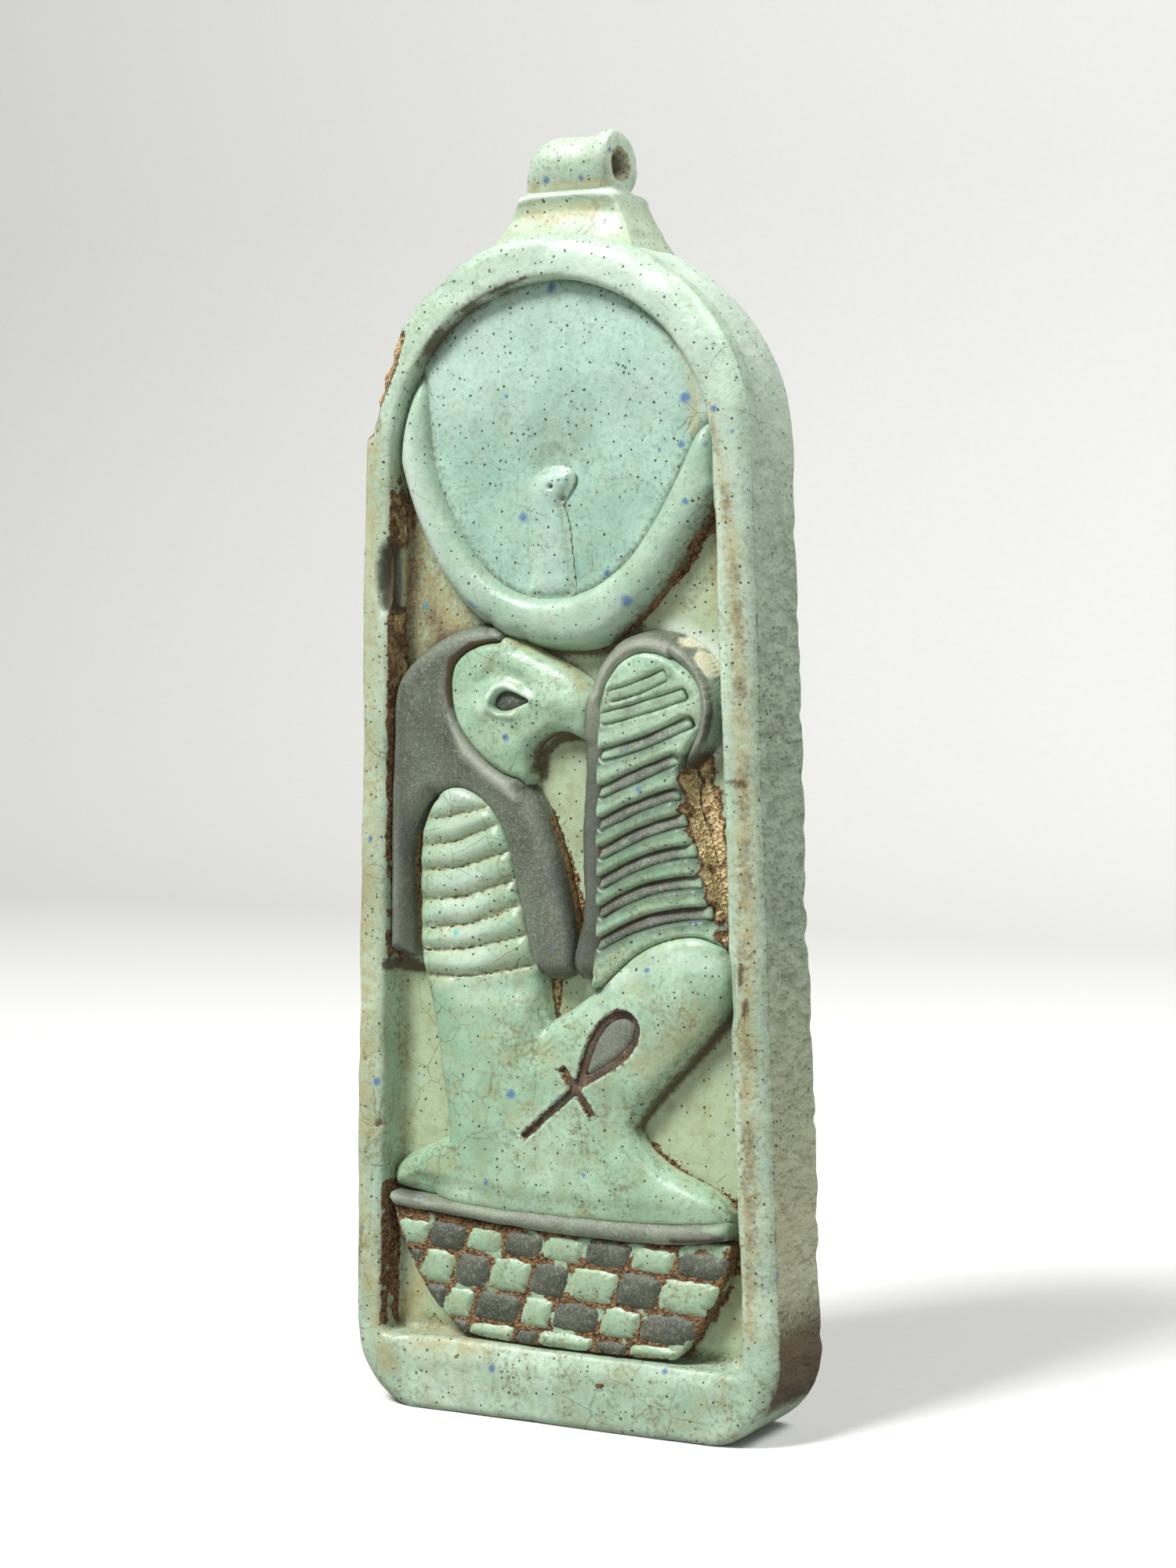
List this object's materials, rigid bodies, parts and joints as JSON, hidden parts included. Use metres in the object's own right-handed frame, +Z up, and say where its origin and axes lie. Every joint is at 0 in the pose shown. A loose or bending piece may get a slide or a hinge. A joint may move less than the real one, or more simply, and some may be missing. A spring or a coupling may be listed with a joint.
{
  "type": "pendant plaque",
  "caption": "Arch-topped faience pendant plaque with a cord loop and inlaid relief of a seated falcon-headed figure, moon disc, feather and chequered basket.",
  "frame": {"origin": "middle of the foot's underside, half way through the thickness, standing upright", "axes": "+Z up along the height to the loop, -Y out of the figured face, +X to the figure's right-hand edge of the field as seen from the front"},
  "size_m": [0.0338, 0.0088, 0.09],
  "materials": {
    "ankh_filling_paste": "matte",
    "ankh_paste": "matte",
    "barb_paste": "matte",
    "bedding_paste": "rough, granular",
    "border_paste": "matte",
    "crescent_glaze": "satin",
    "dark_check_paste": "matte",
    "disc_glaze": "satin",
    "eye_paste": "matte",
    "figure_glaze": "satin",
    "light_check_glaze": "satin",
    "loop_glaze": "satin, stained",
    "tablet_glaze": "satin, weathered",
    "wig_paste": "matte"
  },
  "bodies": {
    "root": {"ankh": "ankh_paste", "ankh_filling": "ankh_filling_paste", "basket_bed": "bedding_paste", "basket_rim": "border_paste", "check_dark_1_2": "dark_check_paste", "check_dark_1_4": "dark_check_paste", "check_dark_1_6": "dark_check_paste", "check_dark_1_8": "dark_check_paste", "check_dark_2_1": "dark_check_paste", "check_dark_2_3": "dark_check_paste", "check_dark_2_5": "dark_check_paste", "check_dark_2_7": "dark_check_paste", "check_dark_3_1": "dark_check_paste", "check_dark_3_3": "dark_check_paste", "check_dark_3_5": "dark_check_paste", "check_dark_3_7": "dark_check_paste", "check_dark_4_1": "dark_check_paste", "check_dark_4_3": "dark_check_paste", "check_dark_4_5": "dark_check_paste", "check_light_1_1": "light_check_glaze", "check_light_1_3": "light_check_glaze", "check_light_1_5": "light_check_glaze", "check_light_1_7": "light_check_glaze", "check_light_2_2": "light_check_glaze", "check_light_2_4": "light_check_glaze", "check_light_2_6": "light_check_glaze", "check_light_2_8": "light_check_glaze", "check_light_3_2": "light_check_glaze", "check_light_3_4": "light_check_glaze", "check_light_3_6": "light_check_glaze", "check_light_4_2": "light_check_glaze", "check_light_4_4": "light_check_glaze", "check_light_4_6": "light_check_glaze", "eye_inlay": "eye_paste", "falcon_head": "figure_glaze", "feather_barb_1": "barb_paste", "feather_barb_2": "barb_paste", "feather_barb_3": "barb_paste", "feather_barb_4": "barb_paste", "feather_barb_5": "barb_paste", "feather_barb_6": "barb_paste", "feather_barb_7": "barb_paste", "feather_barb_8": "barb_paste", "feather_barb_9": "barb_paste", "feather_rim": "border_paste", "feather_vane": "figure_glaze", "lunar_crescent": "crescent_glaze", "lunar_disc": "disc_glaze", "seated_body": "figure_glaze", "suspension_loop": "loop_glaze", "tablet": "tablet_glaze", "uraeus": "disc_glaze", "wig": "wig_paste"}
  },
  "joints": []
}
